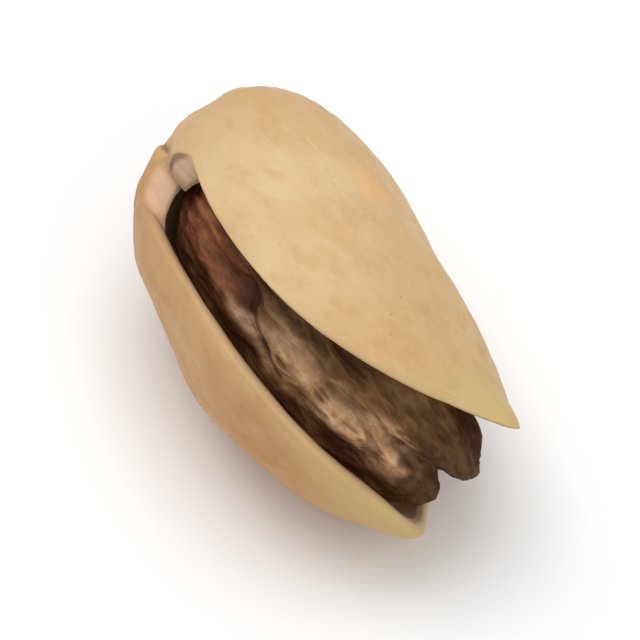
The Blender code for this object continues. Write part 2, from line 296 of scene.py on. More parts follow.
CREASE_PAINTED_SHADE = Tint(0.2, 0.8, 0.9, (0.060, 0.020, 0.008))
KERNEL_FINE_TINT = Tint(0.5, 0.75, 0.4, (0.10, 0.040, 0.020))

# A patchy tint covers a zone, with a share from low to high as its noise goes from start to end
Patchy = namedtuple("Patchy", "start end low high colour")
# Painted shade: the lower half is tinted warmer and darker, as shade falls on it
LOWER_PAINTED_SHADE = Patchy(0.3, 0.7, 0.75, 1.0, (0.82, 0.66, 0.54))
ENDS_TINT = Patchy(0.3, 0.7, 0.6, 1.0, (0.88, 0.82, 0.73))
BEAK_TINT = Patchy(0.35, 0.6, 0.25, 0.75, (0.56, 0.42, 0.17))
SCAR_TINT = Patchy(0.25, 0.75, 0.55, 0.95, (0.37, 0.210, 0.098))
RING_TINT = Patchy(0.35, 0.65, 0.15, 0.5, (0.22, 0.115, 0.055))
STREAK_TINT = Patchy(0.35, 0.60, 0.25, 0.85, (0.62, 0.38, 0.24))

# A stain or a painted shade covers a zone with an even share of its colour: the specks and blush are
# stains, the lip's line is painted shadow and the hole's dark is painted shade
StainOrShade = namedtuple("StainOrShade", "share colour")
SPECK_STAIN = StainOrShade(0.55, (0.34, 0.19, 0.09))
BLUSH_STAIN = StainOrShade(0.45, (0.85, 0.45, 0.16))
# The lip's line is painted shadow and the hole's near black is painted shade
LIP_PAINTED_SHADOW = StainOrShade(0.8, (0.17, 0.08, 0.04))
HOLE_PAINTED_SHADE = StainOrShade(0.85, (0.040, 0.010, 0.012))

# Share of a spot's radius over which it is full
SPOT_CORE = 0.3

# Zones of the shell: along the nut, across the halves (the lower half's painted shade), in from the outside
# and out from the scar
LOWER_SHADE_ZONE = (0.4, -1.6)
TIP_ZONE = (9.5, 15.0)
STEM_ZONE = (5.5, 1.5)
BEAK_ZONE = (15.6, 19.0)
SCAR_ZONE = (1.35, 0.75)
RING_ZONE = (0.22, 0.03)
LIP_ZONE = (0.05, 0.3)
LIP_TO_EDGE = (3.2, 6.0)
# The painted shadow line on the upper half's lip: in from the outside, the half, and its end along the nut
LIP_SHADOW_RISE = (0.01, 0.08)
LIP_SHADOW_FALL = (0.30, 0.14)
LIP_SHADOW_HALF = (0.3, 0.8)
LIP_SHADOW_END = (4.0, 3.2)
HOLLOW_ZONE = (0.75, 1.0)

# Stain around the stem end: how far it reaches and how ragged it is
STEM_STAIN_RADIUS = 2.1
STEM_STAIN_END = 6.0
STEM_RAGGEDNESS = 0.9

# Specks and the warm blush of the shell
SPECK_SCALE = 1.25
SPECK_ZONE = (0.11, 0.05)
SPECK_AREAS_ZONE = (0.50, 0.62)
BLUSH_PLACE = (8.6, -1.0, 5.2)
BLUSH_RADIUS = 1.3

# Zones of the kernel, whose borders wander with its patches, and the line of its strip of painted light
PATCH_REACH = 5.0
MIDDLE_ZONE = (8.6, 10.6)
LOBES_ZONE = (16.9, 18.7)
UNDER_ZONE = (-0.7, -1.9)
# The strip is painted light along the kernel's middle, where it faces up
LIT_STRIP_LINE = (14.0, 18.0, -0.70, -0.15)
LIT_STRIP_WANDER = 1.1
LIT_STRIP_WIDTH = (1.15, 0.40)
LIT_STRIP_START = (10.0, 12.2)
LIT_STRIP_END = (19.2, 18.0)
LIT_STRIP_OVER_LOBES = 0.8

# Colours of the kernel's skin, shaded in its troughs and lit on its crests: its own tones with painted
# shade and painted highlight; the strip colours are painted light
Skin = namedtuple("Skin", "stem middle under lobes strip")
SHADED_SKIN = Skin(
    stem=(0.205, 0.062, 0.024),
    middle=(0.150, 0.074, 0.024),
    under=(0.105, 0.042, 0.015),
    lobes=(0.052, 0.021, 0.004),
    strip=(0.56, 0.31, 0.155),
)
LIT_SKIN = Skin(
    stem=(0.50, 0.200, 0.085),
    middle=(0.29, 0.165, 0.058),
    under=(0.26, 0.118, 0.045),
    lobes=(0.125, 0.060, 0.016),
    strip=(0.86, 0.57, 0.35),
)

# Where the lit colours show, as painted highlight on the crests and as lighter mottles and flecks: start,
# end and least and greatest share
CREST_HIGHLIGHT_SHARE = (0.55, 0.92, 0.0, 0.62)
MOTTLE_SHARE = (0.50, 0.64, 0.0, 0.45)
FLECK_SHARE = (0.56, 0.68, 0.0, 0.3)

# Shine, where roughness follows a noise: start, end and the two roughnesses
SHELL_ROUGHNESS = (0.3, 0.7, 0.50, 0.68)
SHELL_SPECULAR = 0.35
KERNEL_ROUGHNESS = (0.3, 0.7, 0.45, 0.62)
KERNEL_SPECULAR = 0.18
FLOOR_ROUGHNESS = 0.9

# The floor, a square of paper; half its side is in metres
FLOOR_SEGMENTS = 4
FLOOR_HALF_SIDE = 0.6
FLOOR_DARKER = (0.93, 0.93, 0.93)
FLOOR_LIGHTER = (0.95, 0.95, 0.95)

# How the photograph is taken: lens and sensor in millimetres, the rest in metres
AIM = Vector((0.0, 0.0, 0.0052))
CAMERA_AZIMUTH = math.radians(58.6)
CAMERA_ELEVATION = math.radians(51.6)
CAMERA_ROLL = math.radians(1.6)
CAMERA_LENS = 400.0
CAMERA_SENSOR = 36.0
CAMERA_DISTANCE = 0.272
CAMERA_CLIP_START = 0.01
CAMERA_CLIP_END = 10.0

# Key light above and behind the nut, fill light beside the camera: metres and watts
KEY_ABOVE = 0.42
KEY_AWAY = 0.10
KEY_LEFT = 0.04
KEY_SIZE = 0.42
KEY_POWER = 1.10
FILL_TOWARDS = 0.45
FILL_RIGHT = 0.10
FILL_SIZE = 0.40
FILL_POWER = 0.45
WORLD_STRENGTH = 0.56


def profile(t, ends):
    """Reach of an ovoid along its length, 1 at its widest; ends are (stem, tip) bluntness."""
    stem, tip = ends
    widest = stem / (stem + tip)
    t = np.clip(t, 0.0, 1.0)
    return (t / widest) ** stem * ((1.0 - t) / (1.0 - widest)) ** tip


def rise(value, start, end):
    """Eases from 0 at start to 1 at end."""
    s = np.clip((value - start) / (end - start), 0.0, 1.0)
    return s * s * (3.0 - 2.0 * s)


def new_ball(cells):
    """A ball of radius 1 made of a cube's six faces in even squares."""
    bm = bmesh.new()
    bmesh.ops.create_cube(bm, size=2.0)
    bmesh.ops.subdivide_edges(bm, edges=bm.edges[:], cuts=cells - 1, use_grid_fill=True)
    for vert in bm.verts:
        vert.co = Vector([math.tan(c * math.pi / 4.0) for c in vert.co]).normalized()
    return bm


def on_split(vert):
    """True for a ball point on the line that the split follows."""
    if abs(vert.co.z) > CLOSE_TO_ZERO:
        return False
    start = SPLIT_START_FRONT if vert.co.y < 0.0 else SPLIT_START_BACK
    return (1.0 + vert.co.x) / 2.0 * SHELL_LENGTH >= start


def split_ball(bm):
    """Cuts the ball open along the split and tells each point which half it is in."""
    cut = [edge for edge in bm.edges if all(on_split(vert) for vert in edge.verts)]
    bmesh.ops.split_edges(bm, edges=cut)
    half = bm.verts.layers.float.new("half")
    for vert in bm.verts:
        if abs(vert.co.z) > CLOSE_TO_ZERO:
            vert[half] = math.copysign(1.0, vert.co.z)
        elif vert.is_boundary:
            heights = [face.calc_center_median().z for face in vert.link_faces]
            if min(heights) > 0.0 or max(heights) < 0.0:
                vert[half] = math.copysign(1.0, heights[0])
    return half


def add_hollow(bm, half, cuts):
    """Doubles the cut ball for the hollow and joins both along the rim."""
    directions = [bm.verts.layers.float.new(name) for name in ("dx", "dy", "dz")]
    depth = bm.verts.layers.float.new("depth")
    for vert in bm.verts:
        for layer, value in zip(directions, vert.co):
            vert[layer] = value
    for vert in bm.verts:
        vert.co.z += BRIDGE_SPREAD * vert[half] * max(0.0, vert.co.x + 1.0)
    geometry = bm.verts[:] + bm.edges[:] + bm.faces[:]
    copied = bmesh.ops.duplicate(bm, geom=geometry)["geom"]
    inner_faces = [item for item in copied if isinstance(item, bmesh.types.BMFace)]
    for vert in [item for item in copied if isinstance(item, bmesh.types.BMVert)]:
        vert[depth] = 1.0
        vert.co *= BRIDGE_SHRINK
    bmesh.ops.reverse_faces(bm, faces=inner_faces)
    rim = [edge for edge in bm.edges if edge.is_boundary]
    bridged = bmesh.ops.bridge_loops(bm, edges=rim)
    across = [edge for edge in bridged["edges"] if abs(edge.verts[0][depth] - edge.verts[1][depth]) > 0.5]
    bmesh.ops.subdivide_edges(bm, edges=across, cuts=cuts)
    return directions, depth


def read_layer(bm, layer):
    """The values of one layer as an array."""
    return np.array([vert[layer] for vert in bm.verts])


def gape(x, y, upper):
    """How far a half has moved away from the middle plane."""
    back = 0.5 * (1.0 + np.tanh(y / BLEND_WIDTH))
    start = GAPE_START_FRONT * (1.0 - back) + SPLIT_START_BACK * back
    along = np.clip((x - start) / (SHELL_LENGTH - start), 0.0, None)
    return np.where(upper, UPPER_GAPE * along**UPPER_GAPE_POWER, LOWER_GAPE * along**LOWER_GAPE_POWER)


def split_angle(x, front, upper):
    """Angle by which the rim stands back from the middle plane; the lower half has a blunt corner."""
    start = np.where(front, SPLIT_START_FRONT, SPLIT_START_BACK)
    delay = np.where(front & upper, SPLIT_TRIM_UPPER_DELAY, 0.0)
    edge = SPLIT_TRIM * np.exp(-(x - start) / SPLIT_TRIM_FADE)
    edge = edge * np.sqrt(np.clip((x - start - delay) / SPLIT_TRIM_RISE, 0.0, 1.0))
    corner = SPLIT_CORNER * np.exp(-(((x - start) / SPLIT_CORNER_FADE) ** 2))
    corner = corner * np.sqrt(np.clip((x - start) / SPLIT_CORNER_RISE, 0.0, 1.0))
    return np.where(front, edge + np.where(upper, 0.0, corner), edge * SPLIT_TRIM_BACK_SHARE)


def stem_relief(x, turn, z, front):
    """Inward depth of the creases and of the notch at the stem end."""
    creases = 0.5 + 0.5 * np.sin(CREASE_COUNT * turn + CREASE_WANDER * np.sin(2.0 * turn))
    fade = rise(x, *CREASE_RISE) * np.exp(-x / CREASE_REACH)
    notch = np.exp(-((z / NOTCH_WIDTH) ** 2)) * rise(x, NOTCH_START, SPLIT_START_FRONT)
    notch = notch * (1.0 - rise(x, *NOTCH_FALL))
    return CREASE_DEPTH * creases * fade + np.where(front, NOTCH_DEPTH * notch, 0.0)


def body_relief(x, turn):
    """Outward height of the low ribs and dents along the outside."""
    middle = rise(x, *RELIEF_RISE) * (1.0 - rise(x, *RELIEF_FALL))
    ribs = RIB_HEIGHT * np.sin(RIB_COUNT * turn + RIB_SLANT * x)
    dents = np.sin(2.0 * math.pi * x / DENT_LENGTH + DENT_TWIST * turn) * np.sin(turn + DENT_SIDE)
    return middle * (ribs + DENT_DEPTH * dents)


def wall_thickness(x, angle, front):
    """The wall's own thickness, which is least along the split."""
    start = np.where(front, SPLIT_START_FRONT, SPLIT_START_BACK)
    near = np.exp(-((angle / EDGE_THINNING_ANGLE) ** 2)) * rise(x, start, start + EDGE_THINNING_RISE)
    return WALL * (1.0 - EDGE_THINNING * near)


def shell_layer(direction, half, hollow):
    """Points of the outside, or of the hollow, as they gape and as if the nut were shut."""
    t = (1.0 + direction[:, 0]) / 2.0
    around = np.hypot(direction[:, 1], direction[:, 2]).clip(CLOSE_TO_ZERO)
    front = direction[:, 1] < 0.0
    upper = half > 0.0
    angle = np.arcsin(np.clip(np.abs(direction[:, 2]) / around, 0.0, 1.0))
    trim = split_angle(SHELL_LENGTH * t, front, upper) * (np.abs(half) > 0.5)
    lift = trim + angle * (1.0 - trim / (math.pi / 2.0))
    cy = np.cos(lift) * np.where(front, -1.0, 1.0)
    cz = np.sin(lift) * np.sign(half)
    reach_y = np.where(front, FRONT_REACH * profile(t, FRONT_ENDS), BACK_REACH * profile(t, BACK_ENDS))
    reach_z = np.where(upper, UPPER_DEPTH * profile(t, UPPER_ENDS), LOWER_DEPTH * profile(t, LOWER_ENDS))
    turn = np.arctan2(direction[:, 2], direction[:, 1])
    x = SHELL_LENGTH * t
    if hollow:
        fullness = 1.0 + HOLLOW_FULLNESS * np.exp(-t / HOLLOW_FULLNESS_FADE)
        wall = wall_thickness(x, angle, front)
        reach_y = fullness * reach_y**2 / (reach_y + wall)
        reach_z = fullness * reach_z**2 / (reach_z + wall)
        x = STEM_WALL + t * (SHELL_LENGTH - STEM_WALL - BEAK_WALL)
    else:
        keel = np.abs(np.cos(lift)) ** KEEL_SHARPNESS * rise(t, *KEEL_RISE) * (1.0 - rise(t, *KEEL_FALL))
        change = body_relief(x, turn) + KEEL_HEIGHT * keel - stem_relief(x, turn, cz * reach_z, front)
        reach_y = np.maximum(reach_y + change, 0.0)
        reach_z = np.maximum(reach_z + change, 0.0)
    y = cy * reach_y
    z = cz * reach_z
    radius = np.hypot(y, z)
    if not hollow:
        oval = np.hypot(y / SCAR_LENGTH, z / SCAR_BREADTH)
        pad = 1.0 - rise(oval, *SCAR_EDGE)
        moat = np.exp(-(((oval - SCAR_MOAT_PLACE) / SCAR_MOAT_WIDTH) ** 2))
        x = x + (SCAR_MOAT * moat - SCAR_HEIGHT * pad) * (t < 0.5)
        x = x + STEM_FLATNESS * np.exp(-((radius / STEM_FLAT_RADIUS) ** 2)) * (t < 0.5)
    tip = np.exp(-((radius / BEAK_RADIUS) ** 2)) * (t > 0.5)
    x = x + BEAK_LENGTH * tip
    shut = np.stack([x, y, z], axis=1)
    z = z + half * gape(x, y, upper)
    return np.stack([x, y, z], axis=1), shut


def shell_points(direction, half, depth):
    """Outside, hollow and rounded lip, as they gape and as if the nut were shut."""
    outside, outside_shut = shell_layer(direction, half, False)
    inside, inside_shut = shell_layer(direction, half, True)
    share = depth[:, None]
    points = outside * (1.0 - share) + inside * share
    points[:, 2] -= half * LIP_ROUNDING * 4.0 * depth * (1.0 - depth)
    return points, outside_shut * (1.0 - share) + inside_shut * share


def kernel_points(direction):
    """Points of the kernel in the nut's own frame, and how far its relief reaches there."""
    t = (1.0 + direction[:, 0]) / 2.0
    around = np.hypot(direction[:, 1], direction[:, 2]).clip(CLOSE_TO_ZERO)
    cy = direction[:, 1] / around
    cz = direction[:, 2] / around
    turn = np.arctan2(cz, cy)
    y = cy * KERNEL_HALF_WIDTH * profile(t, KERNEL_WIDTH_ENDS)
    z = cz * KERNEL_HALF_DEPTH * profile(t, KERNEL_DEPTH_ENDS)
    lobe_step = LOBE_STEP * np.tanh(z / LOBE_STEP_WIDTH) * rise(t, *LOBE_STEP_RISE)
    x = KERNEL_START + KERNEL_LENGTH * t + lobe_step
    normal = direction / np.array([KERNEL_LENGTH / 2.0, KERNEL_HALF_WIDTH, KERNEL_HALF_DEPTH])
    normal /= np.linalg.norm(normal, axis=1)[:, None]
    cleft = CLEFT_DEPTH + (CLEFT_TIP_DEPTH - CLEFT_DEPTH) * rise(t, *CLEFT_DEEPENS)
    cleft = cleft * rise(t, *CLEFT_RISE) * np.exp(-((z / CLEFT_WIDTH) ** 2))
    wander = FURROW_WANDER * np.sin(FURROW_WAVE * x)
    furrow = np.zeros_like(x)
    for place in FURROW_PLACES:
        furrow = furrow + np.exp(-(((turn - place - wander) / FURROW_WIDTH) ** 2))
    furrow = FURROW_DEPTH * furrow * rise(t, *FURROW_RISE) * (1.0 - rise(t, *FURROW_FALL))
    lumps = np.sin(LUMP_WAVE * x + LUMP_TWIST * turn) * np.sin(LUMP_COUNT * turn + LUMP_SLANT * x)
    lumps = LUMP_HEIGHT * lumps * rise(t, *LUMP_RISE)
    change = lumps - cleft - furrow
    points = np.stack([x, y, z], axis=1) + normal * change[:, None]
    sag = KERNEL_SAG * np.sin(math.pi * t) + KERNEL_STEM_DROP * (1.0 - t) - KERNEL_TIP_RISE * t
    points[:, 2] -= sag
    points[:, 1] -= KERNEL_TIP_LEAN * rise(t, *TIP_LEAN_RISE)
    return points, change


def lay_down(points):
    """Turns the nut from its own frame to the way it lies."""
    x, y, z = points[:, 0], points[:, 1], points[:, 2]
    rolled_y = y * math.cos(ROLL) + z * math.sin(ROLL)
    rolled_z = -y * math.sin(ROLL) + z * math.cos(ROLL)
    pitched_x = x * math.cos(PITCH) - rolled_z * math.sin(PITCH)
    pitched_z = x * math.sin(PITCH) + rolled_z * math.cos(PITCH)
    return np.stack([pitched_x, rolled_y, pitched_z], axis=1)


def fractal(points, kind):
    """Smooth noise at each point, up to about its kind's height either way."""
    scaled = points * np.array(kind.scale) + kind.offset
    values = [noise.fractal(Vector(p), FRACTAL_FALLOFF, FRACTAL_STEP, kind.octaves) for p in scaled]
    return kind.height * np.array(values)


def ridges(points, scale, offset):
    """Noise whose crests are sharp and whose hollows are round, 0 to 1."""
    scaled = points * np.array(scale) + offset
    return np.array([1.0 - abs(noise.noise(Vector(p))) * 2.0 for p in scaled]).clip(0.0, 1.0)


def vertex_normals(bm, points):
    """Gives the mesh its points and returns the way each one faces."""
    for vert, point in zip(bm.verts, points):
        vert.co = point
    bm.normal_update()
    return np.array([vert.normal[:] for vert in bm.verts])


def scar_distance(shut):
    """Distance out from the scar's middle, with a wobble, 1 at about its edge."""
    oval = np.hypot(shut[:, 1] / SCAR_LENGTH, shut[:, 2] / SCAR_BREADTH)
    return np.where(shut[:, 0] < SCAR_END, oval, FAR_FROM_SCAR) + fractal(shut, SCAR_WOBBLE)


def seam_line(shut, kind, side):
    """The line where the halves stay joined on one side of the nut, 0 to 1."""
    x = shut[:, 0]
    line = np.exp(-((shut[:, 2] / kind.width) ** 2)) * side
    return line * rise(x, *kind.rise) * (1.0 - rise(x, *kind.fall))


def shell_relief(shut, half, depth):
    """Height of the shell's fine relief, and the marks that its material follows."""
    x = shut[:, 0]
    front = shut[:, 1] < 0.0
    outer = 1.0 - depth
    pits = rise(ridges(shut, PIT_SCALE, PIT_OFFSET), *PIT_RISE)
    pits = PIT_DEPTH * pits * rise(fractal(shut, PIT_AREAS), *PIT_AREAS_RISE)
    skin = fractal(shut, SHELL_UNEVENNESS) + fractal(shut, SHELL_GRAIN) - pits
    rough = outer * np.exp(-x / STEM_ROUGHNESS_FADE) * fractal(shut, STEM_ROUGHNESS)
    oval = scar_distance(shut)
    scar = fractal(shut, SCAR_GRAIN) * (1.0 - rise(oval, *SCAR_GRAIN_FALL))
    scar = scar - SCAR_RING_DEPTH * np.exp(-(((oval - SCAR_RING_PLACE) / SCAR_RING_WIDTH) ** 2))
    front_seam = seam_line(shut, FRONT_SEAM, front)
    back_seam = seam_line(shut, BACK_SEAM, ~front)
    seams = FRONT_SEAM.depth * front_seam + BACK_SEAM.depth * back_seam
    height = outer * (skin + scar - seams) + rough + depth * fractal(shut, HOLLOW_GRAIN)
    around = np.hypot(shut[:, 1], shut[:, 2])
    marks = {
        "nut": shut,
        "depth": depth,
        "half": half,
        "stem": np.exp(-((around / STEM_STAIN_RADIUS) ** 2)) * (x < STEM_STAIN_END) * outer,
        "oval": oval,
        "seam": np.clip(front_seam + BACK_SEAM_SHADE * back_seam, 0.0, 1.0) * outer,
        "relief": skin + rough,
    }
    return height, marks


def build_shell():
    """The shell at a fine scale: returns its mesh in work, its points and its marks."""
    bm = new_ball(SHELL_CELLS)
    half_layer = split_ball(bm)
    directions, depth_layer = add_hollow(bm, half_layer, LIP_CUTS)
    direction = np.stack([read_layer(bm, layer) for layer in directions], axis=1)
    half = read_layer(bm, half_layer)
    depth = read_layer(bm, depth_layer)
    points, shut = shell_points(direction, half, depth)
    bmesh.ops.recalc_face_normals(bm, faces=bm.faces[:])
    normals = vertex_normals(bm, points)
    height, marks = shell_relief(shut, half, depth)
    return bm, points + normals * height[:, None], marks


def kernel_crease(points):
    """The slanting crease beside the kernel's middle, 0 to 1."""
    x, y, z = points[:, 0], points[:, 1], points[:, 2]
    start_x, start_z = KERNEL_CREASE_FROM
    end_x, end_z = KERNEL_CREASE_TO
    along = (x - start_x) / (end_x - start_x)
    centre = start_z + (end_z - start_z) * along
    across = np.exp(-(((z - centre) / KERNEL_CREASE_WIDTH) ** 2))
    ends = rise(along, *KERNEL_CREASE_RISE) * (1.0 - rise(along, *KERNEL_CREASE_FALL))
    return across * ends * (y < 0.0)


def kernel_relief(points):
    """Height of the kernel's fine relief, and how far its crests and its crease show, 0 to 1."""
    bent = points + np.stack([fractal(points, bend) for bend in FOLD_BENDS], axis=1)
    height = np.zeros(len(points))
    crest = np.zeros(len(points))
    for fold in KERNEL_FOLDS:
        crests = ridges(bent, fold.scale, fold.offset)
        height = height + fold.height * (crests - fold.middle)
        crest = crest + fold.share * crests
    height = np.minimum(height + fractal(points, KERNEL_GRAIN), FOLD_LIMIT)
    crease = kernel_crease(points)
    hole = np.linalg.norm((points - np.array(HOLE_PLACE)) * HOLE_STRETCH, axis=1) / HOLE_RADIUS
    height = height - KERNEL_CREASE_DEPTH * crease - HOLE_DEPTH * np.exp(-(hole**2))
    return height, crest, crease


def build_kernel():
    """The kernel at a fine scale: returns its mesh in work, its points and its marks."""
    bm = new_ball(KERNEL_CELLS)
    direction = np.array([vert.co[:] for vert in bm.verts])
    points, change = kernel_points(direction)
    normals = vertex_normals(bm, points)
    height, crest, crease = kernel_relief(points)
    points = points + normals * height[:, None]
    # How deep the furrows and cleft are, which sets their painted shade
    shade_depth = np.clip(-change / DEEP_RELIEF, 0.0, 1.0)
    return bm, points, {"nut": points, "crest": crest, "shade_depth": shade_depth, "crease": crease}


def make_object(bm, name, points, marks):
    """Turns a mesh in work into an object with its marks as attributes."""
    for vert, point in zip(bm.verts, points * METRES_PER_MM):
        vert.co = point
    bmesh.ops.recalc_face_normals(bm, faces=bm.faces[:])
    mesh = bpy.data.meshes.new(name)
    bm.to_mesh(mesh)
    bm.free()
    # The working layers go, as the marks bring their own values
    for attribute in ("half", "depth", "dx", "dy", "dz"):
        found = mesh.attributes.get(attribute)
        if found:
            mesh.attributes.remove(found)
    for mark, values in marks.items():
        values = np.asarray(values, dtype=np.float32)
        if values.ndim == 2:
            layer = mesh.attributes.new(mark, "FLOAT_VECTOR", "POINT")
            layer.data.foreach_set("vector", values.ravel())
        else:
            layer = mesh.attributes.new(mark, "FLOAT", "POINT")
            layer.data.foreach_set("value", values)
    mesh.shade_smooth()
    obj = bpy.data.objects.new(name, mesh)
    bpy.context.scene.collection.objects.link(obj)
    return obj


class Nodes:
    """Short calls for building a material's nodes."""

    def __init__(self, name):
        self.material = bpy.data.materials.new(name)
        self.material.use_nodes = True
        self.tree = self.material.node_tree
        self.tree.nodes.clear()
        self.shader = self.new("ShaderNodeBsdfPrincipled")
        out = self.new("ShaderNodeOutputMaterial")
        self.link(self.shader.outputs[0], out.inputs[0])

    def new(self, kind, **settings):
        node = self.tree.nodes.new(kind)
        for key, value in settings.items():
            setattr(node, key, value)
        return node

    def link(self, start, end):
        self.tree.links.new(start, end)

    def put(self, socket, value):
        """Links a socket, or sets a colour or a number, as the value's kind asks."""
        if isinstance(value, bpy.types.NodeSocket):
            self.link(value, socket)
        elif isinstance(value, tuple):
            socket.default_value = (*value, 1.0)
        else:
            socket.default_value = value

    def attribute(self, name, vector=False):
        node = self.new("ShaderNodeAttribute", attribute_type="GEOMETRY", attribute_name=name)
        return node.outputs["Vector" if vector else "Fac"]

    def split(self, vector):
        """The x, y and z of a vector."""
        node = self.new("ShaderNodeSeparateXYZ")
        self.link(vector, node.inputs[0])
        return node.outputs

    def math(self, operation, a, b=0.0, clamp=False):
        node = self.new("ShaderNodeMath", operation=operation, use_clamp=clamp)
        self.put(node.inputs[0], a)
        self.put(node.inputs[1], b)
        return node.outputs[0]

    def range(self, value, low, high, to_low=0.0, to_high=1.0):
        """Eases from to_low to to_high as the value goes from low to high."""
        node = self.new("ShaderNodeMapRange", interpolation_type="SMOOTHSTEP")
        self.put(node.inputs["Value"], value)
        for key, number in (("From Min", low), ("From Max", high), ("To Min", to_low), ("To Max", to_high)):
            node.inputs[key].default_value = number
        return node.outputs[0]

    def mix(self, share, a, b, blend="MIX"):
        node = self.new("ShaderNodeMix", data_type="RGBA", blend_type=blend)
        self.put(node.inputs[0], share)
        self.put(node.inputs[MIX_FIRST], a)
        self.put(node.inputs[MIX_SECOND], b)
        return node.outputs[MIX_RESULT]

    def fade(self, value, kind):
        return self.mix(self.range(value, kind.start, kind.end), kind.first, kind.second)

    def tint(self, colour, value, kind):
        return self.mix(self.range(value, kind.start, kind.end, 0.0, kind.share), colour, kind.colour)

    def patchy(self, colour, zone, pattern, kind, blend="MIX"):
        share = self.math("MULTIPLY", zone, self.range(pattern, kind.start, kind.end, kind.low, kind.high))
        return self.mix(share, colour, kind.colour, blend)

    def stain_or_shade(self, colour, zone, kind):
        return self.mix(self.math("MULTIPLY", zone, kind.share), colour, kind.colour)

    def stretch(self, vector, scale):
        node = self.new("ShaderNodeMapping")
        self.put(node.inputs["Vector"], vector)
        node.inputs["Scale"].default_value = scale
        return node.outputs[0]

    def pattern(self, vector, kind):
        """Noise of one kind, which may be stretched along the nut."""
        node = self.new("ShaderNodeTexNoise")
        self.put(node.inputs["Vector"], self.stretch(vector, (kind.stretch, 1.0, 1.0)))
        node.inputs["Scale"].default_value = kind.scale
        node.inputs["Detail"].default_value = kind.detail
        node.inputs["Roughness"].default_value = kind.rough
        node.inputs["Distortion"].default_value = kind.distortion
        return node.outputs[0]

    def cells(self, vector, scale):
        """Distance from the nearest of many scattered points."""
        node = self.new("ShaderNodeTexVoronoi", feature="F1")
        self.put(node.inputs["Vector"], vector)
        node.inputs["Scale"].default_value = scale
        return node.outputs["Distance"]

    def spot(self, vector, centre, radius):
        """A round zone with a soft edge."""
        node = self.new("ShaderNodeVectorMath", operation="DISTANCE")
        self.put(node.inputs[0], vector)
        node.inputs[1].default_value = centre
        return self.range(node.outputs["Value"], radius, radius * SPOT_CORE)

    def bump(self, height, kind, normal=None):
        node = self.new("ShaderNodeBump")
        self.put(node.inputs["Height"], height)
        node.inputs["Strength"].default_value = kind.strength
        node.inputs["Distance"].default_value = kind.distance
        if normal is not None:
            self.link(normal, node.inputs["Normal"])
        return node.outputs[0]

    def surface(self, colour, roughness, specular=None, normal=None):
        """Gives the shader its colour and shine; what is left out keeps the shader's own value."""
        self.link(colour, self.shader.inputs["Base Color"])
        self.put(self.shader.inputs["Roughness"], roughness)
        if specular is not None:
            self.shader.inputs["Specular IOR Level"].default_value = specular
        if normal is not None:
            self.link(normal, self.shader.inputs["Normal"])


def outside_colour(n, nut, blotches, mottle, streaks, fine):
    """Cream, with painted shade making it warmer and darker below, greyer at both ends, with specks, a
    blush and a green beak.
    """
    x, _, z = n.split(nut)
    colour = n.fade(blotches, SHELL_BASE)
    colour = n.tint(colour, mottle, SHELL_MOTTLE_TINT)
    colour = n.tint(colour, streaks, SHELL_STREAK_TINT)
    colour = n.tint(colour, fine, SHELL_FINE_TINT)
    # Painted shade: warmer and darker lower half
    colour = n.patchy(colour, n.range(z, *LOWER_SHADE_ZONE), blotches, LOWER_PAINTED_SHADE, "MULTIPLY")
    ends = n.math("MAXIMUM", n.range(x, *TIP_ZONE), n.range(x, *STEM_ZONE))
    colour = n.patchy(colour, ends, blotches, ENDS_TINT, "MULTIPLY")
    colour = n.tint(colour, n.attribute("relief"), LOW_RELIEF_TINT)
    specks = n.range(n.cells(nut, SPECK_SCALE), *SPECK_ZONE)
    speck_areas = n.range(n.pattern(nut, SPECK_AREAS), *SPECK_AREAS_ZONE)
    colour = n.stain_or_shade(colour, n.math("MULTIPLY", specks, speck_areas), SPECK_STAIN)
    colour = n.stain_or_shade(colour, n.spot(nut, BLUSH_PLACE, BLUSH_RADIUS), BLUSH_STAIN)
    return n.patchy(colour, n.range(x, *BEAK_ZONE), mottle, BEAK_TINT)


def add_stem_colours(n, colour, mottle, fine):
    """Brown around the stem end, on the scar, in the ring around it and in the seams."""
    raggedness = n.math("MULTIPLY", n.math("SUBTRACT", mottle, NOISE_MIDDLE), STEM_RAGGEDNESS)
    colour = n.tint(colour, n.math("ADD", n.attribute("stem"), raggedness), STEM_TINT)
    oval = n.attribute("oval")
    colour = n.patchy(colour, n.range(oval, *SCAR_ZONE), fine, SCAR_TINT)
    off_ring = n.math("ABSOLUTE", n.math("SUBTRACT", oval, SCAR_RING_PLACE))
    colour = n.patchy(colour, n.range(off_ring, *RING_ZONE), mottle, RING_TINT)
    return n.tint(colour, n.attribute("seam"), SEAM_TINT)


def add_rim_colours(n, colour, nut, blotches, streaks):
    """Pale lip near the stem, a painted shadow line along its upper half, brown edge beyond, and the
    hollow.
    """
    x = n.split(nut)[0]
    depth = n.attribute("depth")
    rim = n.mix(n.range(x, *LIP_TO_EDGE), n.fade(streaks, LIP_FADE), n.fade(depth, EDGE_FADE))
    colour = n.mix(n.range(depth, *LIP_ZONE), colour, rim)
    # Painted shadow line along the upper half's lip
    line = n.math("MULTIPLY", n.range(depth, *LIP_SHADOW_RISE), n.range(depth, *LIP_SHADOW_FALL))
    upper = n.range(n.attribute("half"), *LIP_SHADOW_HALF)
    line = n.math("MULTIPLY", line, n.math("MULTIPLY", upper, n.range(x, *LIP_SHADOW_END)))
    colour = n.stain_or_shade(colour, line, LIP_PAINTED_SHADOW)
    return n.mix(n.range(depth, *HOLLOW_ZONE), colour, n.fade(blotches, HOLLOW_FADE))


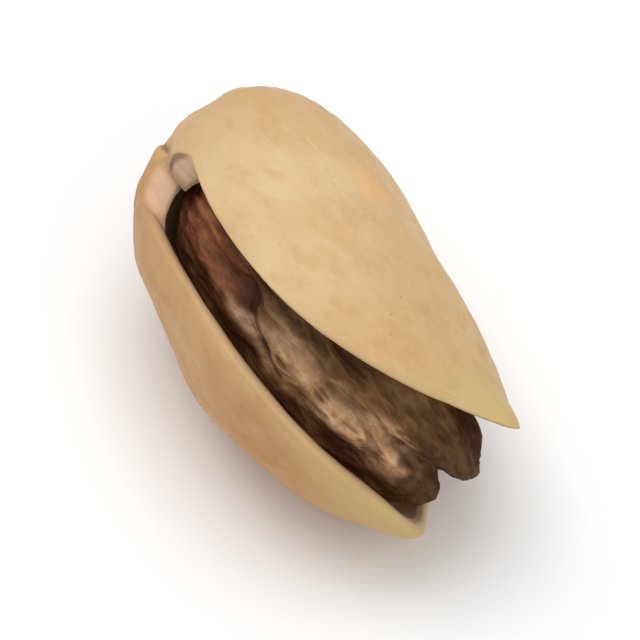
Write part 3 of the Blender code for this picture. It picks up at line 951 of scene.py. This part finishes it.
def shell_material():
    """Dry hard shell with a soft sheen."""
    n = Nodes("pistachio_shell")
    nut = n.attribute("nut", vector=True)
    blotches = n.pattern(nut, SHELL_BLOTCHES)
    mottle = n.pattern(nut, SHELL_MOTTLE)
    streaks = n.pattern(nut, SHELL_STREAKS)
    fine = n.pattern(nut, SHELL_FINE)
    colour = outside_colour(n, nut, blotches, mottle, streaks, fine)
    colour = add_stem_colours(n, colour, mottle, fine)
    colour = add_rim_colours(n, colour, nut, blotches, streaks)
    bump = n.bump(n.pattern(nut, SHELL_PORES), PORE_BUMP)
    bump = n.bump(n.pattern(nut, SHELL_SCRATCHES), SCRATCH_BUMP, bump)
    n.surface(colour, n.range(mottle, *SHELL_ROUGHNESS), SHELL_SPECULAR, bump)
    return n.material


def kernel_zones(n, nut):
    """Where the kernel's middle, underside, lobes and band of painted light show, 0 to 1."""
    x, _, z = n.split(nut)
    patches = n.math("SUBTRACT", n.pattern(nut, KERNEL_PATCHES), NOISE_MIDDLE)
    beyond = n.math("ADD", x, n.math("MULTIPLY", patches, PATCH_REACH))
    # The strip of painted light follows this line
    off_line = n.math("SUBTRACT", z, n.range(x, *LIT_STRIP_LINE))
    off_line = n.math("ADD", off_line, n.math("MULTIPLY", patches, LIT_STRIP_WANDER))
    strip = n.range(n.math("ABSOLUTE", off_line), *LIT_STRIP_WIDTH)
    strip = n.math("MULTIPLY", strip, n.range(x, *LIT_STRIP_START))
    strip = n.math("MULTIPLY", strip, n.range(beyond, *LIT_STRIP_END))
    under = n.range(n.math("ADD", z, patches), *UNDER_ZONE)
    return n.range(beyond, *MIDDLE_ZONE), under, n.range(beyond, *LOBES_ZONE), strip


def skin_colours(n, nut):
    """The skin's colours, shaded for its low folds and lit for its crests, as painted shade and painted
    highlight; in both the band of painted light crosses the lobes.
    """
    middle, under, lobes, strip = kernel_zones(n, nut)
    shaded_skin = n.mix(middle, SHADED_SKIN.stem, SHADED_SKIN.middle)
    for zone, tone in ((under, SHADED_SKIN.under), (lobes, SHADED_SKIN.lobes), (strip, SHADED_SKIN.strip)):
        shaded_skin = n.mix(zone, shaded_skin, tone)
    lobes = n.math("SUBTRACT", lobes, n.math("MULTIPLY", strip, LIT_STRIP_OVER_LOBES), clamp=True)
    crests = n.mix(middle, LIT_SKIN.stem, LIT_SKIN.middle)
    for zone, tone in ((under, LIT_SKIN.under), (strip, LIT_SKIN.strip), (lobes, LIT_SKIN.lobes)):
        crests = n.mix(zone, crests, tone)
    return shaded_skin, crests


def kernel_material():
    """Dry wrinkled skin: red brown near the stem, tan along the middle under a band of painted light, dark
    at both lobes, with painted highlight on its crests and painted shade in its folds, furrows, cleft,
    crease and hole.
    """
    n = Nodes("pistachio_kernel")
    nut = n.attribute("nut", vector=True)
    crest = n.attribute("crest")
    mottle = n.pattern(nut, KERNEL_MOTTLE)
    flecks = n.pattern(nut, KERNEL_FLECKS)
    fine = n.pattern(nut, KERNEL_FINE)
    shaded_skin, crests = skin_colours(n, nut)
    # Crests take the lit colours and low folds the shaded ones: painted highlight and painted shade
    colour = n.mix(n.range(crest, *CREST_HIGHLIGHT_SHARE), shaded_skin, crests)
    colour = n.mix(n.range(mottle, *MOTTLE_SHARE), colour, crests)
    colour = n.tint(colour, mottle, KERNEL_MOTTLE_TINT)
    colour = n.mix(n.range(flecks, *FLECK_SHARE), colour, crests)
    # Painted shade in the troughs, the deep furrows and cleft, and the crease
    colour = n.tint(colour, crest, TROUGH_PAINTED_SHADE)
    colour = n.tint(colour, n.attribute("shade_depth"), DEEP_PAINTED_SHADE)
    colour = n.tint(colour, n.attribute("crease"), CREASE_PAINTED_SHADE)
    colour = n.tint(colour, fine, KERNEL_FINE_TINT)
    streak_centre = tuple(place * scale for place, scale in zip(STREAK_PLACE, STREAK_STRETCH))
    streak = n.spot(n.stretch(nut, STREAK_STRETCH), streak_centre, STREAK_RADIUS)
    colour = n.patchy(colour, streak, fine, STREAK_TINT)
    # Painted shade in and around the hole
    colour = n.stain_or_shade(colour, n.spot(nut, HOLE_PLACE, HOLE_SHADE_RADIUS), HOLE_PAINTED_SHADE)
    n.surface(colour, n.range(fine, *KERNEL_ROUGHNESS), KERNEL_SPECULAR, n.bump(fine, KERNEL_BUMP))
    return n.material


def floor_material():
    """Plain pale paper."""
    n = Nodes("floor_paper")
    place = n.new("ShaderNodeTexCoord").outputs["Object"]
    n.surface(n.mix(n.pattern(place, FLOOR_GRAIN), FLOOR_DARKER, FLOOR_LIGHTER), FLOOR_ROUGHNESS)
    return n.material


def camera_axes():
    """Right, up and towards-the-camera directions of the photograph's view."""
    towards = Vector((
        math.sin(CAMERA_AZIMUTH) * math.cos(CAMERA_ELEVATION),
        -math.cos(CAMERA_AZIMUTH) * math.cos(CAMERA_ELEVATION),
        math.sin(CAMERA_ELEVATION),
    ))
    level = Vector((math.cos(CAMERA_AZIMUTH), math.sin(CAMERA_AZIMUTH), 0.0))
    right = level * math.cos(CAMERA_ROLL) + towards.cross(level) * math.sin(CAMERA_ROLL)
    return right, towards.cross(right), towards


def add_camera(right, up, towards):
    """A long lens at the photograph's angle, far enough off to see no strong perspective."""
    data = bpy.data.cameras.new("camera")
    data.lens = CAMERA_LENS
    data.sensor_width = CAMERA_SENSOR
    data.clip_start = CAMERA_CLIP_START
    data.clip_end = CAMERA_CLIP_END
    camera = bpy.data.objects.new("camera", data)
    bpy.context.scene.collection.objects.link(camera)
    turned = Matrix((right, up, towards)).transposed().to_4x4()
    turned.translation = AIM + towards * CAMERA_DISTANCE
    camera.matrix_world = turned
    bpy.context.scene.camera = camera


def add_light(name, place, size, power):
    """A square soft light that faces the nut."""
    data = bpy.data.lights.new(name, "AREA")
    data.size = size
    data.energy = power
    light = bpy.data.objects.new(name, data)
    bpy.context.scene.collection.objects.link(light)
    light.location = place
    light.rotation_euler = (place - AIM).to_track_quat("Z", "Y").to_euler()


def add_lights(right, towards):
    """Both lights, placed by the camera's directions."""
    away = Vector((-towards.x, -towards.y, 0.0)).normalized()
    key_place = AIM + Vector((0.0, 0.0, KEY_ABOVE)) + away * KEY_AWAY - right * KEY_LEFT
    add_light("key", key_place, KEY_SIZE, KEY_POWER)
    add_light("fill", AIM + towards * FILL_TOWARDS + right * FILL_RIGHT, FILL_SIZE, FILL_POWER)


def add_world():
    """Even white light from all around."""
    world = bpy.data.worlds.new("studio")
    world.use_nodes = True
    background = world.node_tree.nodes["Background"]
    background.inputs[0].default_value = (1.0, 1.0, 1.0, 1.0)
    background.inputs[1].default_value = WORLD_STRENGTH
    bpy.context.scene.world = world


def add_floor():
    """The surface that the nut lies on."""
    bm = bmesh.new()
    bmesh.ops.create_grid(bm, x_segments=FLOOR_SEGMENTS, y_segments=FLOOR_SEGMENTS, size=FLOOR_HALF_SIDE)
    mesh = bpy.data.meshes.new("floor")
    bm.to_mesh(mesh)
    bm.free()
    mesh.materials.append(floor_material())
    floor = bpy.data.objects.new("floor", mesh)
    bpy.context.scene.collection.objects.link(floor)


def add_nut():
    """Builds both pieces, lays the nut down on its flat spot and hands the pieces to the frame."""
    shell_bm, shell, shell_marks = build_shell()
    kernel_bm, kernel, kernel_marks = build_kernel()
    shell = lay_down(shell)
    kernel = lay_down(kernel)
    everything = np.vstack([shell, kernel])
    middle = (everything.min(axis=0) + everything.max(axis=0)) / 2.0
    shift = np.array([middle[0], middle[1], shell[:, 2].min() + REST_CUT])
    shell -= shift
    kernel -= shift
    shell[:, 2] = np.maximum(shell[:, 2], 0.0)
    shell_obj = make_object(shell_bm, "fine_shell", shell, shell_marks)
    kernel_obj = make_object(kernel_bm, "fine_kernel", kernel, kernel_marks)
    shell_obj.data.materials.append(shell_material())
    kernel_obj.data.materials.append(kernel_material())
    for obj, node, slot in ((shell_obj, "shell", "shell"), (kernel_obj, "kernel", "kernel_skin")):
        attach(obj, "root")
        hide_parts(node)


def build():
    """The nut, its camera, its lights and the floor."""
    add_nut()
    right, up, towards = camera_axes()
    add_camera(right, up, towards)
    add_lights(right, towards)
    add_world()
    add_floor()
    bpy.context.scene.view_settings.view_transform = "Standard"


build()
